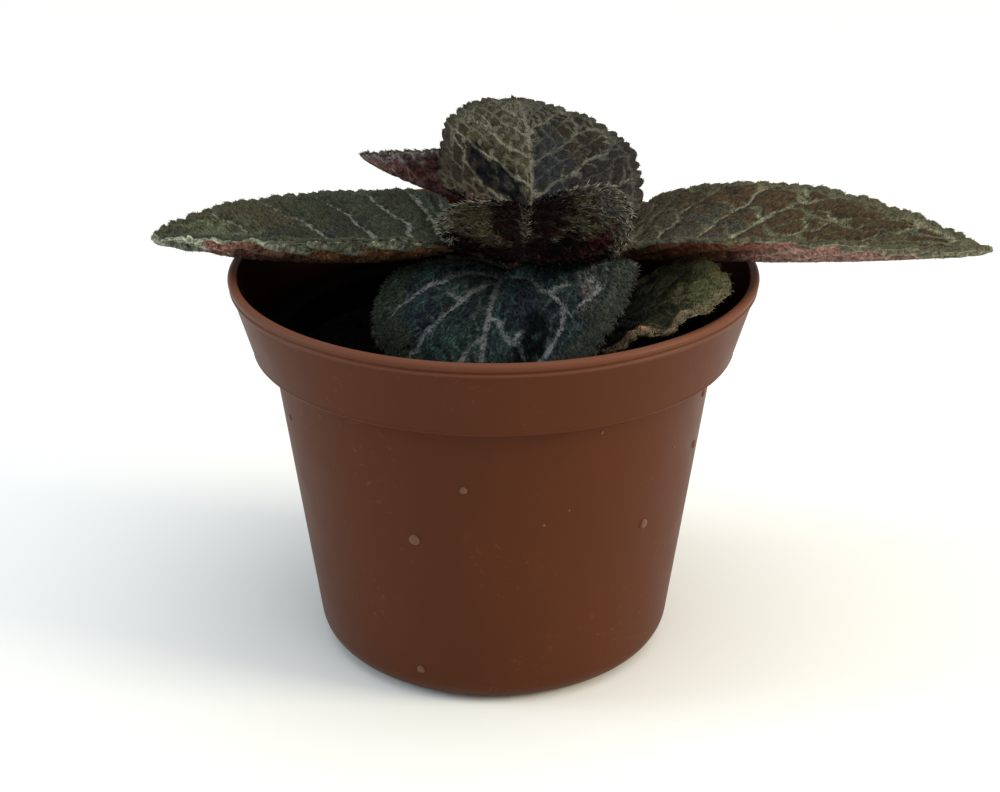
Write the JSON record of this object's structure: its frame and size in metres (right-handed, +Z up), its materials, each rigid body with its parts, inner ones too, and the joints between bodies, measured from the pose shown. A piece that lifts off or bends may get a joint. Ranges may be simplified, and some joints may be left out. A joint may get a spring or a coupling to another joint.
{
  "type": "potted flame violet plant",
  "caption": "Low rosette of hairy, toothed, patterned leaves on a short stem, growing in a round tapered nursery pot filled with soil; it stands on the pot's flat base.",
  "frame": {"origin": "centre of the pot's base, on the surface that the pot stands on", "axes": "+Z up along the pot's axis; +X to the viewer's right, the way the two long leaves reach; -Y towards the viewer"},
  "size_m": [0.1421, 0.09, 0.0915],
  "materials": {
    "pot_plastic": "satin moulded plastic, brown terracotta colour",
    "soil": "moist dark potting soil, crumbly",
    "stem": "hairy reddish-brown stem",
    "leaf_back_upright": "grey-green, velvety, with pale yellowish net veins",
    "leaf_front_young": "olive and purple-brown young leaf with silvery hairs",
    "leaf_left": "grey-green with pale veins, reddish underside",
    "leaf_right": "grey-green with brown patches, pale net veins, reddish underside",
    "leaf_back_left": "pinkish-red underside, greenish upper edge",
    "leaf_lower_right": "dull yellow-green with a pinkish edge",
    "leaf_front_low": "dark blue-green with silver-white veins",
    "leaf_back_low": "dark green with silver-white veins"
  },
  "bodies": {
    "root": {"pot": "pot_plastic", "soil": "soil", "stem": "stem", "leaf_back_upright": "leaf_back_upright", "leaf_front_young": "leaf_front_young", "leaf_left": "leaf_left", "leaf_right": "leaf_right", "leaf_back_left": "leaf_back_left", "leaf_lower_right": "leaf_lower_right", "leaf_front_low": "leaf_front_low", "leaf_back_low": "leaf_back_low"}
  },
  "joints": []
}
